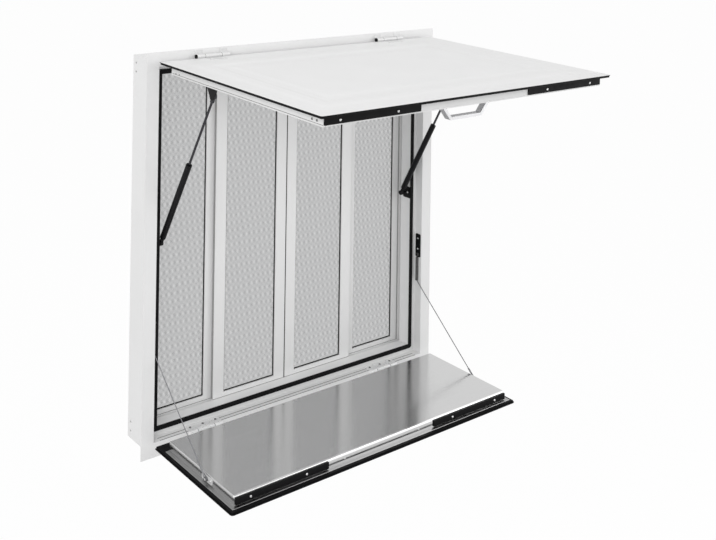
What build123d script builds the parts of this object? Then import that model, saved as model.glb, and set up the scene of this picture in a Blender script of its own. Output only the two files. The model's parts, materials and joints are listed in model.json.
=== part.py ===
# Concession window: a box frame with an awning door, a drop-down shelf and sliding insect screens.
# Millimetres. X runs along the window, -Y faces the customer, +Z is up.
# The origin lies on the back face of the outer flange, which bears on the wall.
from build123d import *
import math
import os

os.makedirs("parts", exist_ok=True)

# Frame extrusion
frame_width = 971.0
frame_height = 972.0
box_depth = 90.0
wall = 2.0
flange_thick = 2.2
flange_lip = 17.0
flange_width = 35.0
recess_depth = 24.0
stop_width = 18.5
track_fin = 1.5
track_depth = 10.0
track_setback = 6.0
corner_hole_r = 2.6
corner_hole_pitch = 22.0
corner_hole_inset = 18.0
corner_hole_from_back = 13.0

# Clearances
seat_gap = 0.3
meeting_gap = 5.0

# Stop seal inside the recess
stop_seal_thick = 4.0
stop_seal_width = 9.0
stop_seal_lap = 2.0

# Leaves: the awning door above and the shelf below are sandwiches with a soft ring under the skin
skin_thick = 1.5
leaf_seal_thick = 3.7
door_body_thick = 21.0
shelf_body_thick = 22.0
leaf_side_overhang = 20.0
leaf_front_overhang = 18.0
skin_lap = 7.5
leaf_rail_width = 34.0
leaf_seal_inset = 3.0
leaf_seal_grip = 12.0
leaf_panel_recess = 6.0
leaf_sheet = 1.2
leaf_rim = 3.5
skin_corner_r = 6.0
door_droop = 1.75
door_skin_root = 2.0
door_body_root = 26.0
shelf_reach = 326.0
shelf_skin_root = 15.0
shelf_body_root = 47.0
emboss_inset = 68.0
emboss_run = 68.0
emboss_height = 2.5
pan_thick = 1.5
pan_edge_r = 1.4

# Hinges
door_knuckle_r = 5.0
shelf_knuckle_r = 4.5
hinge_pin_r = 2.0
hinge_length = 98.0
hinge_middle = 50.0
hinge_side_inset = 157.0
hinge_below_top = 17.0
hinge_leaf_thick = 1.5
door_leaf_width = 28.0
door_base_height = 10.5
shelf_leaf_width = 24.0
shelf_strap_reach = 40.0
hinge_cap_r = 5.2
hinge_cap_thick = 3.0

# Gas struts
strut_inset = 21.0
strut_pivot_height = 494.0
strut_pivot_depth = 42.0
strut_door_reach = 166.0
strut_door_drop = 26.0
strut_tube_r = 7.5
strut_tube_wall = 1.5
strut_tube_length = 232.0
strut_gland = 10.0
strut_end_wall = 6.0
strut_neck = 18.0
strut_neck_width = 7.0
strut_rod_r = 3.0
strut_eye_r = 6.5
strut_eye_width = 8.0
strut_stud_r = 3.0
strut_stud_end = 1.0
strut_plate_thick = 2.5
strut_foot_half = 24.0
strut_apex_r = 9.0
strut_jamb_plate_width = 28.0
strut_jamb_plate_height = 32.0
piston_length = 12.0
piston_inset = 20.0

# Wire stays
stay_plate_length = 66.0
stay_plate_width = 18.0
stay_plate_thick = 2.0
stay_plate_top = 376.5
stay_stud_r = 2.5
stay_stud_end = 0.2
stay_stud_inset = 8.0
stay_eye_r = 5.0
stay_eye_width = 5.0
stay_sleeve_length = 66.5
stay_sleeve_r = 4.2
stay_cable_r = 1.5
stay_ferrule_length = 26.0
stay_ferrule_r = 2.5
stay_reach = 205.0
stay_bracket_length = 40.0
stay_bracket_height = 13.0
stay_bracket_thick = 1.5
plate_corner_r = 3.0

# Handle and latch strips
handle_foot_half = 80.0
handle_grip_half = 50.0
handle_drop = 36.0
handle_bar = 7.0
handle_depth = 15.0
handle_setback = 34.0
handle_bend_r = 5.0
strip_length = 264.0
strip_height = 14.5
strip_thick = 3.0
strip_end_inset = 2.0

# Sliding screens
sash_thick = 8.6
sash_stile = 34.0
sash_rail = 22.0
sash_lap = 11.5
sash_stagger = 17.5
sash_wall = 1.2
mesh_thick = 0.6

# Derived places
half_width = frame_width / 2
bottom = -flange_lip / 2
top = bottom + frame_height
recess_half = half_width - flange_width
recess_floor = bottom + flange_width
clear_width_inset = flange_width + stop_width
clear_half = half_width - clear_width_inset
clear_floor = bottom + clear_width_inset
clear_roof = top - clear_width_inset
skin_half = recess_half + skin_lap
body_half = skin_half - leaf_side_overhang
closed_face = -(flange_thick + seat_gap + leaf_seal_thick + skin_thick)
door_axis_y = closed_face - seat_gap - door_knuckle_r
door_axis_z = top - hinge_below_top
door_top_h = door_axis_y - closed_face
shelf_axis_y = -flange_thick - seat_gap - shelf_knuckle_r
shelf_axis_z = recess_floor + hinge_leaf_thick - shelf_knuckle_r
shelf_under_h = closed_face - shelf_axis_y
shelf_body_level = shelf_under_h + skin_thick + leaf_seal_thick
door_reach = door_axis_z - shelf_axis_z - shelf_reach - meeting_gap
hinge_x = skin_half - hinge_side_inset

# Working planes of the leaves: X along the window, -Y outward from the hinge axis, Z to the upper face
droop = math.radians(door_droop)
door_plane = Plane(
    origin=(0, door_axis_y, door_axis_z), x_dir=(1, 0, 0), z_dir=(0, -math.sin(droop), math.cos(droop))
)
door_axis_plane = Plane(origin=(0, door_axis_y, door_axis_z), x_dir=(1, 0, 0), z_dir=(0, 0, 1))
shelf_plane = Plane(origin=(0, shelf_axis_y, shelf_axis_z), x_dir=(1, 0, 0), z_dir=(0, 0, 1))


def save(name, part):
    """Labels a finished piece and writes it to its file."""
    part.label = name
    export_step(part, f"parts/{name}.step")


def side_plane(leaf, x):
    """Plane across a leaf at x: its X runs outward from the hinge and its Y to the upper face."""
    return Plane(origin=leaf.from_local_coords((x, 0, 0)), x_dir=-leaf.y_dir, z_dir=-leaf.x_dir)


# Frame members: one hollow extrusion, mitred at both ends
def frame_member(length):
    """A member lying along X: outer edge at Z = 0, flange to the front, two screen tracks behind."""
    inner = clear_width_inset
    with BuildPart() as member:
        with BuildSketch(Plane.YZ.offset(-length / 2)):
            with BuildLine():
                Polyline(
                    (-flange_thick, 0),
                    (-flange_thick, flange_width),
                    (recess_depth, flange_width),
                    (recess_depth, inner),
                    (track_front, inner),
                    (track_front, inner - track_depth),
                    (box_depth, inner - track_depth),
                    (box_depth, flange_lip),
                    (0, flange_lip),
                    (0, 0),
                    close=True,
                )
            make_face()
            with BuildLine():
                Polyline(
                    (0, flange_lip + wall),
                    (0, flange_width - wall),
                    (recess_depth + wall, flange_width - wall),
                    (recess_depth + wall, inner - wall),
                    (track_front - wall, inner - wall),
                    (track_front - wall, inner - track_depth - wall),
                    (box_depth - wall, inner - track_depth - wall),
                    (box_depth - wall, flange_lip + wall),
                    close=True,
                )
            make_face(mode=Mode.SUBTRACT)
            for place in track_places:
                with Locations((place, inner - track_depth)):
                    Rectangle(track_fin, track_depth, align=(Align.MIN, Align.MIN))
        extrude(amount=length)
        depth = box_depth + flange_thick + 2
        with BuildSketch(Plane.XZ.offset(-box_depth - 1)):
            with BuildLine():
                Polyline(
                    (-length / 2, 0),
                    (length / 2, 0),
                    (length / 2 - inner, inner),
                    (inner - length / 2, inner),
                    close=True,
                )
            make_face()
        extrude(amount=depth, mode=Mode.INTERSECT)
    return member.part


track_pitch = sash_thick + 2 * seat_gap + track_fin
track_back = box_depth - track_setback - track_fin
track_places = [track_back, track_back - track_pitch]
back_sash_y = track_places[1] + track_fin + seat_gap
track_front = track_places[1] - sash_thick - 2 * seat_gap
front_sash_y = track_front + seat_gap

save("frame_sill", Pos(0, 0, bottom) * frame_member(frame_width))
save("frame_head", Pos(0, 0, top) * Rot(0, 180, 0) * frame_member(frame_width))


def jamb(side):
    """A jamb with two pairs of corner screw holes through its outer wall."""
    middle = (bottom + top) / 2
    extrusion = Pos(side * half_width, 0, middle) * Rot(0, -side * 90, 0) * frame_member(frame_height)
    with BuildPart() as member:
        add(extrusion)
        box_half = (frame_height - 2 * flange_lip) / 2
        pair_middle = box_half - corner_hole_inset - corner_hole_pitch / 2
        with BuildSketch(Plane.YZ.offset(side * (half_width - flange_lip - wall / 2))):
            with Locations((box_depth - corner_hole_from_back, middle)):
                with GridLocations(0, 2 * pair_middle, 1, 2):
                    with GridLocations(0, corner_hole_pitch, 1, 2):
                        Circle(corner_hole_r)
        extrude(amount=wall, both=True, mode=Mode.SUBTRACT)
    return member.part


save("jamb_left", jamb(-1))
save("jamb_right", jamb(1))

# Stop seal: one rubber ring on the front of the stop, against which both leaves close
with BuildPart() as stop_seal:
    seal_half_x = clear_half - stop_seal_lap + stop_seal_width
    seal_middle = (clear_floor + clear_roof) / 2
    seal_half_z = (clear_roof - clear_floor) / 2 - stop_seal_lap + stop_seal_width
    with BuildSketch(Plane.XZ.offset(-recess_depth)):
        with Locations((0, seal_middle)):
            RectangleRounded(2 * seal_half_x, 2 * seal_half_z, 8)
            Rectangle(
                2 * (seal_half_x - stop_seal_width), 2 * (seal_half_z - stop_seal_width), mode=Mode.SUBTRACT
            )
    extrude(amount=stop_seal_thick)
    front_ring = stop_seal.faces().sort_by(Axis.Y)[0]
    chamfer(front_ring.edges(), 1.5)
save("stop_seal", stop_seal.part)


# Leaves
def leaf_skin(leaf, root, reach, level):
    """The flat outer sheet with rounded front corners."""
    with BuildPart() as skin:
        with BuildSketch(leaf.offset(level)):
            with Locations((0, -(root + reach) / 2)):
                Rectangle(2 * skin_half, reach - root)
        extrude(amount=skin_thick)
        corners = [e for e in skin.edges() if e.length < skin_thick * 1.01]
        corners.sort(key=lambda e: leaf.to_local_coords(e.center()).Y)
        fillet(corners[:2], skin_corner_r)
    return skin.part


def leaf_seal(leaf, skin_root, body_root, reach, level):
    """The soft ring between the overhanging skin and the body."""
    with BuildPart() as seal:
        with BuildSketch(leaf.offset(level)):
            with Locations((0, -(skin_root + reach - leaf_seal_inset) / 2)):
                Rectangle(2 * (skin_half - leaf_seal_inset), reach - leaf_seal_inset - skin_root)
            inner_back = body_root + leaf_seal_grip
            inner_front = reach - leaf_front_overhang - leaf_seal_grip
            with Locations((0, -(inner_back + inner_front) / 2)):
                Rectangle(2 * (body_half - leaf_seal_grip), inner_front - inner_back, mode=Mode.SUBTRACT)
        extrude(amount=leaf_seal_thick)
    return seal.part


# Awning door, from its outer face down
door_skin_level = door_top_h - skin_thick
door_seal_level = door_skin_level - leaf_seal_thick
door_body_level = door_seal_level - door_body_thick
door_front = door_reach - leaf_front_overhang
door_sheet = leaf_skin(door_plane, door_skin_root, door_reach, door_skin_level)
with BuildPart() as door_skin:
    add(door_sheet)
    for face_level, mode in ((door_top_h, Mode.ADD), (door_skin_level, Mode.SUBTRACT)):
        for rise, inset in ((0, emboss_inset), (emboss_height, emboss_inset + emboss_run)):
            with BuildSketch(door_plane.offset(face_level + rise)):
                with Locations((0, -(door_skin_root + door_reach) / 2)):
                    Rectangle(2 * (skin_half - inset), door_reach - door_skin_root - 2 * inset)
        loft(ruled=True, mode=mode)
save("door_skin", door_skin.part)
save("door_seal", leaf_seal(door_plane, door_skin_root, door_body_root, door_reach, door_seal_level))

with BuildPart() as door_body:
    body_middle = (0, -(door_body_root + door_front) / 2)
    body_depth = door_front - door_body_root
    with BuildSketch(door_plane.offset(door_body_level)):
        with Locations(body_middle):
            Rectangle(2 * body_half, body_depth)
    extrude(amount=door_body_thick)
    with BuildSketch(door_plane.offset(door_body_level)):
        with Locations(body_middle):
            RectangleRounded(2 * (body_half - leaf_rail_width), body_depth - 2 * leaf_rail_width, 3)
    extrude(amount=leaf_panel_recess, mode=Mode.SUBTRACT)
    with BuildSketch(door_plane.offset(door_body_level + leaf_sheet)):
        with Locations(body_middle):
            Rectangle(2 * (body_half - leaf_sheet), body_depth - 2 * leaf_sheet)
            Rectangle(
                2 * (body_half - leaf_rail_width + leaf_sheet),
                body_depth - 2 * (leaf_rail_width - leaf_sheet),
                mode=Mode.SUBTRACT,
            )
    extrude(amount=door_body_thick - 2 * leaf_sheet, mode=Mode.SUBTRACT)
    with BuildSketch(door_plane.offset(door_body_level + leaf_panel_recess + leaf_sheet)):
        with Locations(body_middle):
            Rectangle(2 * (body_half - leaf_sheet), body_depth - 2 * leaf_sheet)
    extrude(amount=door_body_thick - leaf_panel_recess - 2 * leaf_sheet, mode=Mode.SUBTRACT)
save("door_body", door_body.part)


# Latch strips on the front edge of a leaf
def latch_strip(leaf, front, level, side):
    """A rubber strip on the front edge that runs from near one corner towards the middle."""
    middle = side * (body_half - strip_end_inset - strip_length / 2)
    with BuildPart() as strip:
        with BuildSketch(leaf.offset(level + leaf_rim)):
            with Locations((middle, -front - strip_thick / 2)):
                Rectangle(strip_length, strip_thick)
        extrude(amount=strip_height)
    return strip.part


save("door_strip_left", latch_strip(door_plane, door_front, door_body_level, -1))
save("door_strip_right", latch_strip(door_plane, door_front, door_body_level, 1))

# Pull handle under the front edge: a flat bar bent to a trapezoid
handle_plane = Plane(
    origin=door_plane.from_local_coords((0, handle_setback - door_front, door_body_level)),
    x_dir=(1, 0, 0),
    z_dir=-door_plane.y_dir,
)
leg_slope = (handle_foot_half - handle_grip_half) / handle_drop
leg_width = handle_bar * math.hypot(1, leg_slope)
inner_foot = handle_foot_half - leg_width
inner_grip = inner_foot - leg_slope * (handle_drop - handle_bar)
with BuildPart() as door_handle:
    with BuildSketch(handle_plane) as bar:
        with BuildLine():
            Polyline(
                (-handle_foot_half, 0),
                (-handle_grip_half, -handle_drop),
                (handle_grip_half, -handle_drop),
                (handle_foot_half, 0),
                (inner_foot, 0),
                (inner_grip, handle_bar - handle_drop),
                (-inner_grip, handle_bar - handle_drop),
                (-inner_foot, 0),
                close=True,
            )
        make_face()
        fillet(bar.vertices().sort_by(Axis.Y)[:2], handle_bend_r)
    extrude(amount=handle_depth / 2, both=True)
save("door_handle", door_handle.part)

# Hinges: two outer knuckles and the pin belong to the frame side, the middle knuckle to the leaf
outer_knuckle = (hinge_length - hinge_middle) / 2 - seat_gap
outer_place = (hinge_length - outer_knuckle) / 2


def knuckle_pair(axis_plane, x, knuckle_r):
    """The outer knuckles of a hinge, joined by its pin."""
    with BuildPart() as pair:
        for end in (-1, 1):
            with BuildSketch(side_plane(axis_plane, x + end * outer_place)):
                Circle(knuckle_r)
            extrude(amount=outer_knuckle / 2, both=True)
        with BuildSketch(side_plane(axis_plane, x)):
            Circle(hinge_pin_r)
        extrude(amount=hinge_length / 2, both=True)
    return pair.part


def door_hinge_base(x):
    """Frame side of an awning hinge: cranked leaves carry its knuckles in front of the flange."""
    pair = knuckle_pair(door_axis_plane, x, door_knuckle_r)
    stand = -flange_thick - door_axis_y
    with BuildPart() as base:
        add(pair)
        for end in (-1, 1):
            with BuildSketch(side_plane(door_axis_plane, x + end * outer_place)):
                with Locations((-stand, door_knuckle_r - hinge_leaf_thick)):
                    Rectangle(stand, hinge_leaf_thick, align=(Align.MIN, Align.MIN))
                    Rectangle(hinge_leaf_thick, door_base_height, align=(Align.MIN, Align.MIN))
            extrude(amount=outer_knuckle / 2, both=True)
    return base.part


def door_hinge_leaf(x):
    """Door side of an awning hinge: the middle knuckle and a leaf laid on the skin."""
    with BuildPart() as leaf:
        with BuildSketch(side_plane(door_plane, x)):
            Circle(door_knuckle_r)
            with Locations((0, door_top_h)):
                Rectangle(door_leaf_width, hinge_leaf_thick, align=(Align.MIN, Align.MIN))
            Circle(hinge_pin_r + seat_gap, mode=Mode.SUBTRACT)
        extrude(amount=hinge_middle / 2, both=True)
    return leaf.part


def shelf_hinge_base(x):
    """Frame side of a shelf hinge: a leaf on the recess floor with its knuckles in front of the flange."""
    pair = knuckle_pair(shelf_plane, x, shelf_knuckle_r)
    knuckle_room = shelf_knuckle_r + seat_gap
    with BuildPart() as base:
        add(pair)
        with BuildSketch(Plane(origin=(x, shelf_axis_y, recess_floor), x_dir=(1, 0, 0), z_dir=(0, 0, 1))):
            with Locations((-outer_place, 0), (outer_place, 0)):
                Rectangle(outer_knuckle, shelf_leaf_width, align=(Align.CENTER, Align.MIN))
            with Locations((0, knuckle_room)):
                Rectangle(hinge_length, shelf_leaf_width - knuckle_room, align=(Align.CENTER, Align.MIN))
        extrude(amount=hinge_leaf_thick)
    return base.part


def shelf_hinge_leaf(x):
    """Shelf side of a shelf hinge: the middle knuckle and a strap under the skin."""
    with BuildPart() as leaf:
        with BuildSketch(side_plane(shelf_plane, x)):
            Circle(shelf_knuckle_r)
            with Locations((0, shelf_under_h)):
                Rectangle(shelf_strap_reach, hinge_leaf_thick, align=(Align.MIN, Align.MAX))
            Circle(hinge_pin_r + seat_gap, mode=Mode.SUBTRACT)
        extrude(amount=hinge_middle / 2, both=True)
    return leaf.part


for name, x in (("left", -hinge_x), ("right", hinge_x)):
    save(f"door_hinge_{name}_base", door_hinge_base(x))
    save(f"door_hinge_{name}_leaf", door_hinge_leaf(x))
    save(f"shelf_hinge_{name}_base", shelf_hinge_base(x))
    save(f"shelf_hinge_{name}_leaf", shelf_hinge_leaf(x))

# Plugs in the left end of the awning hinges
with BuildPart() as door_hinge_caps:
    for x in (-hinge_x, hinge_x):
        with BuildSketch(side_plane(door_axis_plane, x - hinge_length / 2)):
            Circle(hinge_cap_r)
        extrude(amount=hinge_cap_thick)
save("door_hinge_caps", door_hinge_caps.part)

# Gas struts
strut_x = clear_half - strut_inset
strut_top_h = door_body_level - strut_door_drop
upper_pivot = door_plane.from_local_coords((0, -strut_door_reach, strut_top_h))
lower_pivot = Vector(0, strut_pivot_depth, bottom + strut_pivot_height)
strut_dir = (lower_pivot - upper_pivot).normalized()
strut_open = (lower_pivot - upper_pivot).length
tube_start = strut_open - strut_neck - strut_tube_length


def strut_plane(side, along):
    """Plane across the strut, this far down from its upper pivot."""
    place = upper_pivot + strut_dir * along
    return Plane(origin=(side * strut_x, place.Y, place.Z), x_dir=(1, 0, 0), z_dir=strut_dir)


def strut_rod(side):
    """Polished rod with a drilled eye on top and the piston at its lower end."""
    with BuildPart() as rod:
        with BuildSketch(strut_plane(side, 0)):
            Rectangle(strut_neck_width, strut_neck_width)
        extrude(amount=strut_neck)
        with BuildSketch(strut_plane(side, strut_neck)):
            Circle(strut_rod_r)
        extrude(amount=tube_start + piston_inset - strut_neck)
        with BuildSketch(strut_plane(side, tube_start + piston_inset)):
            Circle(strut_tube_r - strut_tube_wall - seat_gap)
        extrude(amount=piston_length)
        with BuildSketch(Plane.YZ.offset(side * strut_x)):
            with Locations((upper_pivot.Y, upper_pivot.Z)):
                Circle(strut_eye_r)
        extrude(amount=strut_eye_width / 2, both=True)
        with BuildSketch(Plane.YZ.offset(side * strut_x)):
            with Locations((upper_pivot.Y, upper_pivot.Z)):
                Circle(strut_stud_r + seat_gap)
        extrude(amount=strut_eye_width, both=True, mode=Mode.SUBTRACT)
    return rod.part


def strut_cylinder(side):
    """Gas tube with a gland at its mouth and, below, an eye whose ball stud points at the jamb."""
    bore_r = strut_tube_r - strut_tube_wall
    with BuildPart() as tube:
        with BuildSketch(strut_plane(side, tube_start)):
            Circle(strut_tube_r)
        extrude(amount=strut_tube_length)
        with BuildSketch(strut_plane(side, tube_start + strut_gland)):
            Circle(bore_r)
        extrude(amount=strut_tube_length - strut_gland - strut_end_wall, mode=Mode.SUBTRACT)
        with BuildSketch(strut_plane(side, tube_start)):
            Circle(strut_rod_r + seat_gap)
        extrude(amount=strut_gland, mode=Mode.SUBTRACT)
        with BuildSketch(strut_plane(side, strut_open - strut_neck)):
            Rectangle(strut_neck_width, strut_neck_width)
        extrude(amount=strut_neck)
        with BuildSketch(Plane.YZ.offset(side * strut_x)):
            with Locations((lower_pivot.Y, lower_pivot.Z)):
                Circle(strut_eye_r)
        extrude(amount=strut_eye_width / 2, both=True)
        with BuildSketch(Plane.YZ.offset(side * strut_x)):
            with Locations((lower_pivot.Y, lower_pivot.Z)):
                Circle(strut_stud_r)
        extrude(amount=side * (clear_half - strut_plate_thick - seat_gap - strut_x))
    return tube.part


def strut_door_bracket(side):
    """Triangular plate under the door with the stud that carries the rod's eye."""
    plate_x = side * (strut_x + strut_eye_width / 2 + seat_gap)
    with BuildPart() as bracket:
        with BuildSketch(side_plane(door_plane, plate_x)):
            with BuildLine():
                Polyline(
                    (strut_door_reach - strut_foot_half, door_body_level),
                    (strut_door_reach + strut_foot_half, door_body_level),
                    (strut_door_reach + strut_apex_r, strut_top_h),
                    (strut_door_reach - strut_apex_r, strut_top_h),
                    close=True,
                )
            make_face()
            with Locations((strut_door_reach, strut_top_h)):
                Circle(strut_apex_r)
        extrude(amount=-side * strut_plate_thick)
        with BuildSketch(side_plane(door_plane, plate_x)):
            with Locations((strut_door_reach, strut_top_h)):
                Circle(strut_stud_r)
        extrude(amount=side * (strut_eye_width + seat_gap + strut_stud_end))
    return bracket.part


def strut_jamb_bracket(side):
    """Plate on the jamb that faces the cylinder's ball stud."""
    with BuildPart() as bracket:
        with BuildSketch(Plane.YZ.offset(side * clear_half)):
            with Locations((recess_depth + seat_gap + strut_jamb_plate_width / 2, lower_pivot.Z)):
                RectangleRounded(strut_jamb_plate_width, strut_jamb_plate_height, plate_corner_r)
        extrude(amount=-side * strut_plate_thick)
    return bracket.part


for name, side in (("left", -1), ("right", 1)):
    save(f"strut_{name}_rod", strut_rod(side))
    save(f"strut_{name}_cylinder", strut_cylinder(side))
    save(f"strut_{name}_door_bracket", strut_door_bracket(side))
    save(f"strut_{name}_jamb_bracket", strut_jamb_bracket(side))

# Shelf, from its outer face up
shelf_front = shelf_reach - leaf_front_overhang
save("shelf_skin", leaf_skin(shelf_plane, shelf_skin_root, shelf_reach, shelf_under_h))
shelf_seal_level = shelf_under_h + skin_thick
save("shelf_seal", leaf_seal(shelf_plane, shelf_skin_root, shelf_body_root, shelf_reach, shelf_seal_level))

core_front = shelf_front - pan_thick
core_half = body_half - pan_thick
core_thick = shelf_body_thick - pan_thick
core_middle = (0, -(shelf_body_root + core_front) / 2)
with BuildPart() as shelf_body:
    with BuildSketch(shelf_plane.offset(shelf_body_level)):
        with Locations(core_middle):
            Rectangle(2 * core_half, core_front - shelf_body_root)
    extrude(amount=core_thick)
    with BuildSketch(shelf_plane.offset(shelf_body_level + leaf_sheet)):
        with Locations(core_middle):
            Rectangle(2 * (core_half - leaf_sheet), core_front - shelf_body_root - 2 * leaf_sheet)
    extrude(amount=core_thick - 2 * leaf_sheet, mode=Mode.SUBTRACT)
save("shelf_body", shelf_body.part)

# Shelf top: a pan turned over the body, with lips down its front and sides
with BuildPart() as shelf_top:
    pan_middle = (0, -(shelf_body_root + shelf_front) / 2)
    with BuildSketch(shelf_plane.offset(shelf_body_level)):
        with Locations(pan_middle):
            Rectangle(2 * body_half, shelf_front - shelf_body_root)
    extrude(amount=shelf_body_thick)
    upper_rim = shelf_top.faces().sort_by(Axis.Z)[-1].edges().sort_by(Axis.Y)
    fillet(upper_rim[:3], pan_edge_r)
    with BuildSketch(shelf_plane.offset(shelf_body_level)):
        with Locations(core_middle):
            Rectangle(2 * core_half, core_front - shelf_body_root)
    extrude(amount=core_thick, mode=Mode.SUBTRACT)
save("shelf_top", shelf_top.part)
save("shelf_strip_left", latch_strip(shelf_plane, shelf_front, shelf_body_level, -1))
save("shelf_strip_right", latch_strip(shelf_plane, shelf_front, shelf_body_level, 1))

# Wire stays
stay_y = recess_depth / 2 - 2
plate_low = bottom + stay_plate_top - stay_plate_length
stay_upper_x = recess_half - stay_plate_thick - seat_gap - stay_eye_width / 2
stay_upper_z = plate_low + stay_stud_inset
stay_lower_x = body_half + stay_bracket_thick + seat_gap + stay_eye_width / 2
stay_lower_y = shelf_axis_y - stay_reach
stay_lower_z = shelf_axis_z + shelf_body_level + shelf_body_thick / 2
stay_stud_length = seat_gap + stay_eye_width + stay_stud_end
sleeve_start = stay_stud_inset + seat_gap


def stay_plate(side):
    """Plate on the recess wall, with the stud from which the stay hangs."""
    with BuildPart() as plate:
        with BuildSketch(Plane.YZ.offset(side * recess_half)):
            with Locations((stay_y, plate_low + stay_plate_length / 2)):
                RectangleRounded(stay_plate_width, stay_plate_length, plate_corner_r)
        extrude(amount=-side * stay_plate_thick)
        with BuildSketch(Plane.YZ.offset(side * (recess_half - stay_plate_thick))):
            with Locations((stay_y, stay_upper_z)):
                Circle(stay_stud_r)
        extrude(amount=-side * stay_stud_length)
    return plate.part


def stay_bracket(side):
    """Plate on the shelf's side edge, with the stud that takes the lower end of the stay."""
    with BuildPart() as bracket:
        with BuildSketch(Plane.YZ.offset(side * body_half)):
            with Locations((stay_lower_y, stay_lower_z)):
                RectangleRounded(stay_bracket_length, stay_bracket_height, plate_corner_r)
        extrude(amount=side * stay_bracket_thick)
        with BuildSketch(Plane.YZ.offset(side * (body_half + stay_bracket_thick))):
            with Locations((stay_lower_y, stay_lower_z)):
                Circle(stay_stud_r)
        extrude(amount=side * stay_stud_length)
    return bracket.part


def stay_cable(side):
    """Taut wire stay, with an eye and a sleeve above and a crimped ferrule and an eye below."""
    hang = Vector(side * stay_upper_x, stay_y, stay_upper_z)
    bend = hang - Vector(0, 0, sleeve_start + stay_sleeve_length)
    low = Vector(side * stay_lower_x, stay_lower_y, stay_lower_z)
    along = (low - bend).normalized()
    with BuildPart() as stay:
        with BuildSketch(Plane(origin=hang, z_dir=(0, 0, -1))):
            RegularPolygon(stay_cable_r, 8)
        extrude(amount=sleeve_start)
        with BuildSketch(Plane(origin=bend, z_dir=(0, 0, 1))):
            RegularPolygon(stay_sleeve_r, 12)
        extrude(amount=stay_sleeve_length)
        with BuildSketch(Plane(origin=low, z_dir=-along)):
            RegularPolygon(stay_cable_r, 8)
        extrude(amount=(low - bend).length + stay_cable_r)
        with BuildSketch(Plane(origin=low, z_dir=-along)):
            RegularPolygon(stay_ferrule_r, 8)
        extrude(amount=stay_eye_r + stay_ferrule_length)
        for eye in (hang, low):
            with BuildSketch(Plane(origin=eye, x_dir=(0, 1, 0), z_dir=(1, 0, 0))):
                Circle(stay_eye_r)
            extrude(amount=stay_eye_width / 2, both=True)
        for eye in (hang, low):
            with BuildSketch(Plane(origin=eye, x_dir=(0, 1, 0), z_dir=(1, 0, 0))):
                Circle(stay_stud_r + seat_gap)
            extrude(amount=stay_sleeve_r, both=True, mode=Mode.SUBTRACT)
    return stay.part


for name, side in (("left", -1), ("right", 1)):
    save(f"stay_{name}_plate", stay_plate(side))
    save(f"stay_{name}_bracket", stay_bracket(side))
    save(f"stay_{name}_cable", stay_cable(side))

# Sliding screens: two outer sashes in the back groove, two inner ones in the front groove
sash_tuck = track_depth - seat_gap
sash_floor = clear_floor - sash_tuck
sash_height = clear_roof - clear_floor + 2 * sash_tuck
inner_reach = clear_half / 2 + sash_stagger
sash_edges = [
    (-clear_half - sash_tuck, sash_lap - inner_reach, back_sash_y),
    (-inner_reach, -seat_gap, front_sash_y),
    (seat_gap, inner_reach, front_sash_y),
    (inner_reach - sash_lap, clear_half + sash_tuck, back_sash_y),
]


def sash_frame(low, high, place):
    """A sash of four rails with a groove for the mesh."""
    middle = ((low + high) / 2, sash_floor + sash_height / 2)
    with BuildPart() as sash:
        with BuildSketch(Plane.XZ.offset(-place)):
            with Locations(middle):
                Rectangle(high - low, sash_height)
                Rectangle(high - low - 2 * sash_stile, sash_height - 2 * sash_rail, mode=Mode.SUBTRACT)
        extrude(amount=-sash_thick)
        with BuildSketch(Plane.XZ.offset(-place - sash_wall)):
            with Locations(middle):
                Rectangle(high - low - 2 * sash_wall, sash_height - 2 * sash_wall)
                Rectangle(
                    high - low - 2 * (sash_stile - sash_wall),
                    sash_height - 2 * (sash_rail - sash_wall),
                    mode=Mode.SUBTRACT,
                )
        extrude(amount=-(sash_thick - 2 * sash_wall), mode=Mode.SUBTRACT)
    return sash.part


def sash_mesh(low, high, place):
    """The mesh sheet, which fills the sash's daylight."""
    with BuildPart() as mesh:
        with BuildSketch(Plane.XZ.offset(-place - sash_thick / 2)):
            with Locations(((low + high) / 2, sash_floor + sash_height / 2)):
                Rectangle(
                    high - low - 2 * sash_stile - 2 * seat_gap, sash_height - 2 * sash_rail - 2 * seat_gap
                )
        extrude(amount=-mesh_thick)
    return mesh.part


for number, (low, high, place) in enumerate(sash_edges, start=1):
    save(f"screen_{number}_frame", sash_frame(low, high, place))
    save(f"screen_{number}_mesh", sash_mesh(low, high, place))
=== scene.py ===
import bpy
import bmesh
import json
import math
from mathutils import Matrix, Vector


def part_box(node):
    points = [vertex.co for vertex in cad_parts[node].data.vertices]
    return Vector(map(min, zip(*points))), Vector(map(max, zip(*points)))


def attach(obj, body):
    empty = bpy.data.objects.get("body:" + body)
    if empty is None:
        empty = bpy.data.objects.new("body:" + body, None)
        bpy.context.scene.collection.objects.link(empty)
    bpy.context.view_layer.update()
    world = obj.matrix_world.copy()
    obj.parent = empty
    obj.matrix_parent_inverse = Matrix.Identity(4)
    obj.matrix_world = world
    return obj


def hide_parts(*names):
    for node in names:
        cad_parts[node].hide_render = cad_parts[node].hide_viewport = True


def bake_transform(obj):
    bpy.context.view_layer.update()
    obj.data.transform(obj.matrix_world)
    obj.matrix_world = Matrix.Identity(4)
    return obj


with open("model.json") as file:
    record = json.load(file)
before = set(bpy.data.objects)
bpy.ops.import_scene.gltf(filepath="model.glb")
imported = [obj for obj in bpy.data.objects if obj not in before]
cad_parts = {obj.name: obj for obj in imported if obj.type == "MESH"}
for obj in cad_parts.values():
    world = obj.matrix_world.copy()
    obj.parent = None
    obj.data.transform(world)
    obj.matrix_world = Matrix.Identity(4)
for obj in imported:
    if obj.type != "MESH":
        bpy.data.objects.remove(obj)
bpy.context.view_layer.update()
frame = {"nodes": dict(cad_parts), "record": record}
record = frame["record"]
nodes = frame["nodes"]
joints = {joint["name"]: joint for joint in record["behaviour"]["joints"]}

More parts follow.
